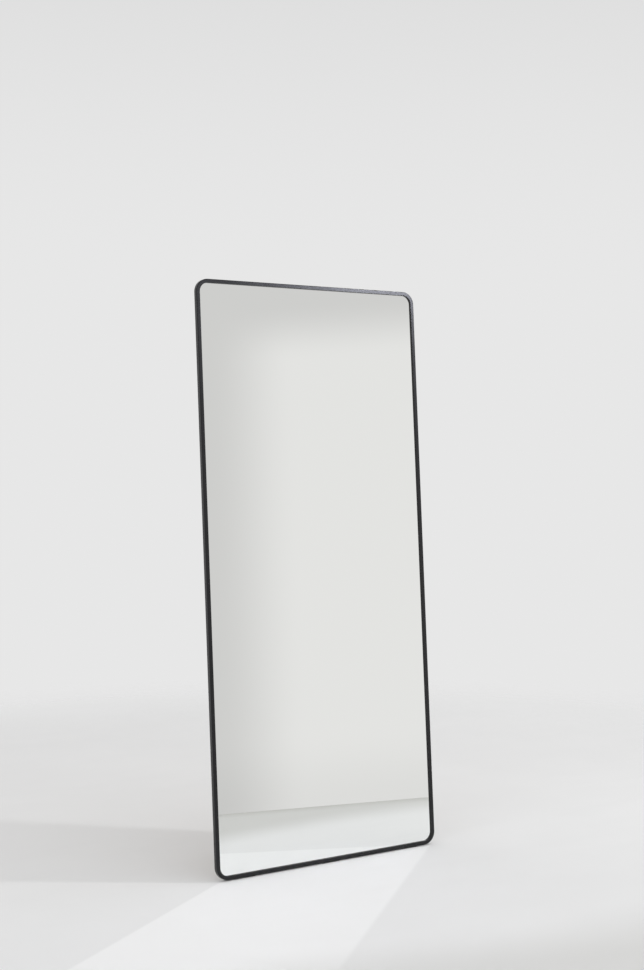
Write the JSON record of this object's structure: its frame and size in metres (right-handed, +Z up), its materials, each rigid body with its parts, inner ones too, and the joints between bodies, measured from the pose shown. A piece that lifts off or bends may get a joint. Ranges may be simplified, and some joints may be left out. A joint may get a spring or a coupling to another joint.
{
  "type": "wall mirror",
  "caption": "Full-length mirror with rounded corners in a slim black frame, standing on a fold-out rear leg, with hanging rings for a wall.",
  "frame": {"origin": "on the floor, at the middle of the standing mirror's width and depth, between the frame's lower edge and the leg's foot", "axes": "+Z up, +Y towards the back of the mirror, +X to the right of someone who looks at the glass"},
  "size_m": [0.8, 0.2632, 1.7978],
  "materials": {
    "frame_black": "satin black powder coat on aluminium",
    "black_steel": "satin black powder coat on steel",
    "zinc_steel": "bright zinc plate",
    "mirror": "silvered on the back, polished",
    "film": "woven safety film",
    "black_foam": "closed-cell foam",
    "rubber": "moulded, matt",
    "fibreboard": "bare medium-density fibreboard",
    "nylon": "natural nylon",
    "black_plastic": "moulded, fine grain"
  },
  "bodies": {
    "mirror": {"frame_upper": "frame_black", "frame_lower": "frame_black", "splice_bars": "zinc_steel", "splice_set_screws": "zinc_steel", "splice_plates": "zinc_steel", "splice_plate_screws": "zinc_steel", "glazing_tape": "black_foam", "mirror_glass": "mirror", "safety_film": "film", "foam_strips": "black_foam", "setting_blocks": "rubber", "backing_board": "fibreboard", "upper_cross_rail": "black_steel", "lower_cross_rail": "black_steel", "rail_screws": "zinc_steel", "hinge_bracket_left": "black_steel", "hinge_bracket_right": "black_steel", "hinge_bracket_screws": "zinc_steel", "hinge_pin_left": "zinc_steel", "hinge_pin_right": "zinc_steel", "hinge_washers": "nylon", "leg_bumpers": "rubber", "hanger_strap_left": "zinc_steel", "hanger_strap_right": "zinc_steel", "hanger_screws": "zinc_steel", "wall_spacers": "black_plastic", "wall_spacer_screws": "zinc_steel", "floor_pads": "rubber"},
    "leg": {"support_leg": "black_steel", "leg_feet": "rubber", "leg_heel_plugs": "black_plastic"},
    "ring_left": {"hanger_ring_left": "zinc_steel"},
    "ring_right": {"hanger_ring_right": "zinc_steel"}
  },
  "joints": [
    {"name": "leg_fold", "type": "hinge", "parent": "mirror", "child": "leg", "pos_m": [0, 0.00495, 1.49662], "axis": [-1, 0, 0], "range_deg": [0, 8.6]},
    {"name": "ring_left_swing", "type": "hinge", "parent": "mirror", "child": "ring_left", "pos_m": [-0.32, -0.00275, 1.51121], "axis": [1, 0, 0], "range_deg": [-4, 175.8]},
    {"name": "ring_right_swing", "type": "hinge", "parent": "mirror", "child": "ring_right", "pos_m": [0.32, -0.00275, 1.51121], "axis": [1, 0, 0], "range_deg": [-4, 175.8]}
  ]
}
